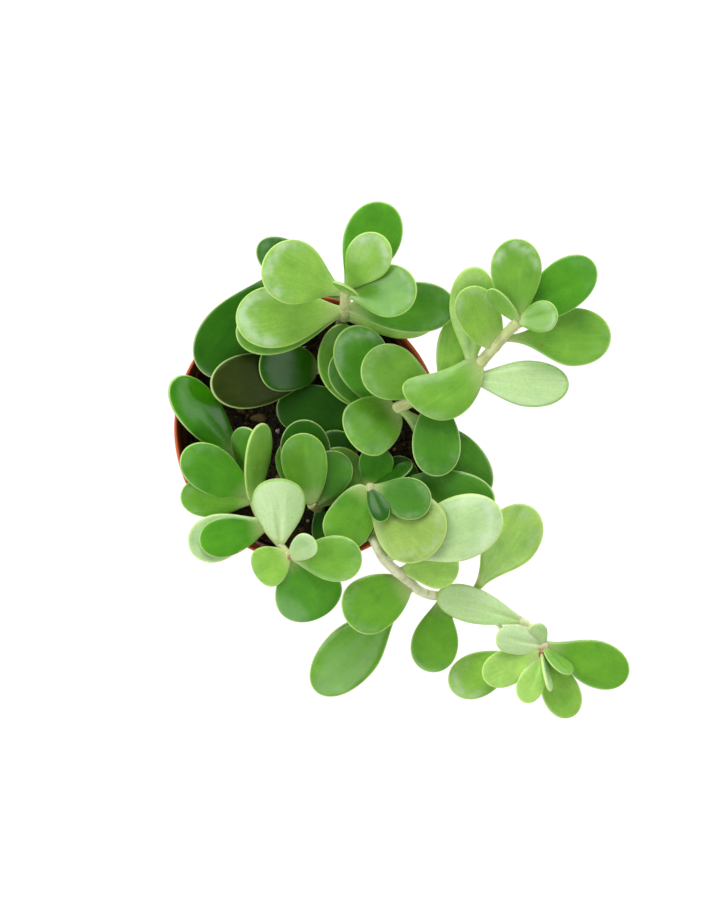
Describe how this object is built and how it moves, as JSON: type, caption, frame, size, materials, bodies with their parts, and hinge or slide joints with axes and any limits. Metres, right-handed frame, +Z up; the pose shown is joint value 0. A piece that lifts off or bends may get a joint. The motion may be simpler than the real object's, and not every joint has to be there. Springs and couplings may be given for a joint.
{
  "type": "potted trailing jade plant",
  "caption": "Trailing succulent with thick, flat paddle leaves on leafy stems, rooted in soil in a round terracotta-coloured plastic nursery pot that stands on its flat base.",
  "frame": {"origin": "centre of the pot's flat base, on the surface it stands on", "axes": "+Z up; +X towards the side over which the longest stem trails, the picture's right; +Y towards the picture's top"},
  "size_m": [0.209, 0.2307, 0.1592],
  "materials": {
    "pot": "moulded terracotta-coloured plastic, satin",
    "soil": "dark crumbly potting soil",
    "leafy_stem": "waxy green succulent leaves on pale olive stems"
  },
  "bodies": {
    "root": {"pot": "pot", "soil": "soil", "leafy_stem_top": "leafy_stem", "leafy_stem_right": "leafy_stem", "leafy_stem_back": "leafy_stem", "leafy_stem_left": "leafy_stem", "leafy_stem_front": "leafy_stem", "leafy_stem_centre": "leafy_stem", "leafy_stem_trailing": "leafy_stem"}
  },
  "joints": []
}
